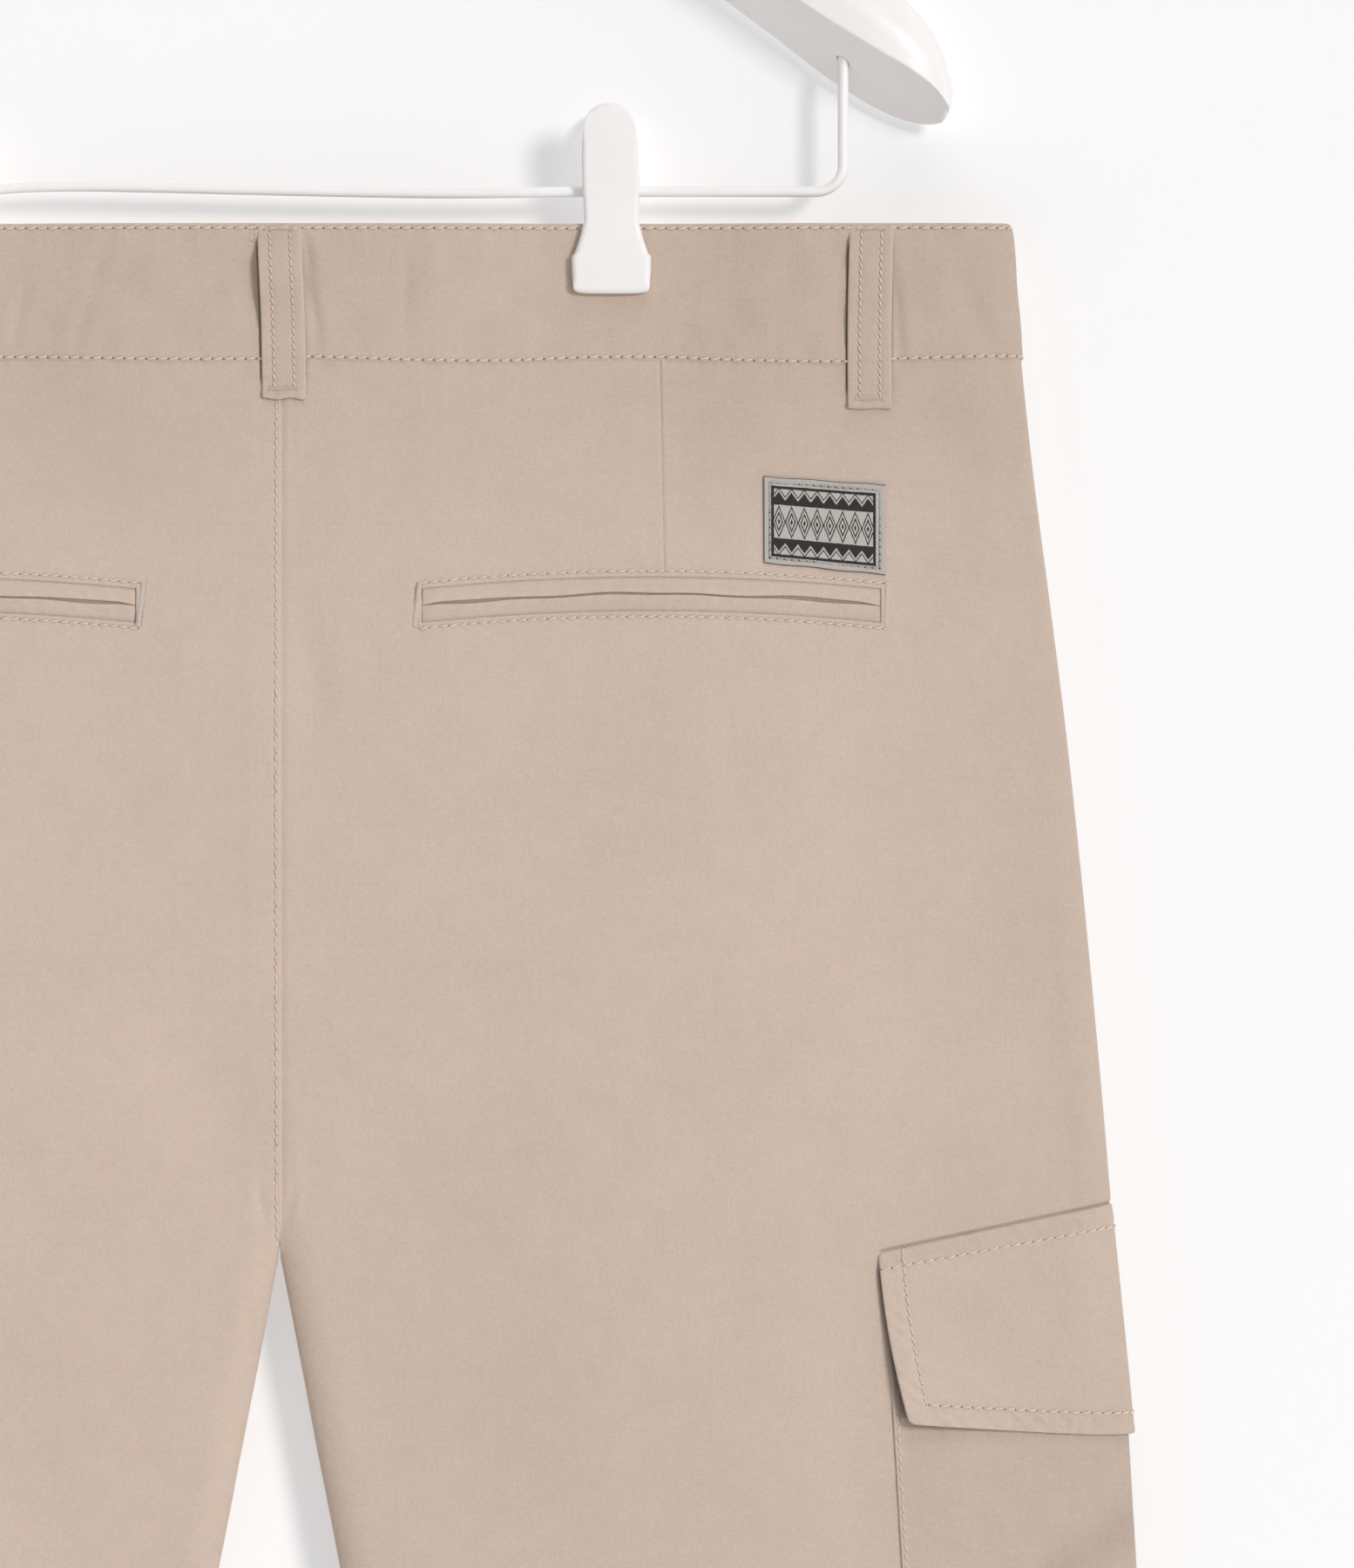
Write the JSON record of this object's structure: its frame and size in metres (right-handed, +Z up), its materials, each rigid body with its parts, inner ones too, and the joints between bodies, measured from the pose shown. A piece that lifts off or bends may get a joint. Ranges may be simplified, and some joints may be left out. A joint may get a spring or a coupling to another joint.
{
  "type": "cargo bermuda shorts on a clip hanger",
  "caption": "Knee-length twill cargo shorts hanging flat from a wooden hanger with a wire clip bar, seat side to the front.",
  "frame": {"origin": "where a rail carries the hanger's hook: the top of the hook's inner round, in the hanger's middle plane", "axes": "+Z up; -Y towards the garment's seat side, which is the side shown; +Y towards the fly; +X towards the wearer's right"},
  "size_m": [0.527, 0.0291, 0.7877],
  "materials": {
    "twill": "washed cotton twill, matte",
    "woven_label": "woven label, matte",
    "zip_tape": "woven tape with metal teeth",
    "button": "polished horn effect",
    "white_lacquer": "satin off-white lacquer",
    "white_wire": "satin white powder coat",
    "white_plastic": "smooth moulded, satin",
    "spring_steel": "bare drawn wire"
  },
  "bodies": {
    "root": {"back_panel_left": "twill", "back_panel_right": "twill", "front_panel_left": "twill", "front_panel_right": "twill", "waistband_left": "twill", "waistband_right": "twill", "belt_loop_centre_back": "twill", "belt_loop_back_right": "twill", "belt_loop_back_left": "twill", "belt_loop_front_right": "twill", "belt_loop_front_left": "twill", "welt_upper_left": "twill", "welt_lower_left": "twill", "welt_upper_right": "twill", "welt_lower_right": "twill", "cargo_pocket_left": "twill", "cargo_pocket_right": "twill", "cargo_flap_left": "twill", "cargo_flap_right": "twill", "label_patch": "woven_label", "fly_zip": "zip_tape", "waist_button": "button", "hanger_arms": "white_lacquer", "hanger_hook": "white_wire", "clip_bar": "white_wire", "clip_jaw_back_left": "white_plastic", "clip_jaw_back_right": "white_plastic", "clip_jaw_front_left": "white_plastic", "clip_jaw_front_right": "white_plastic", "clip_spring_left": "spring_steel", "clip_spring_right": "spring_steel"}
  },
  "joints": []
}
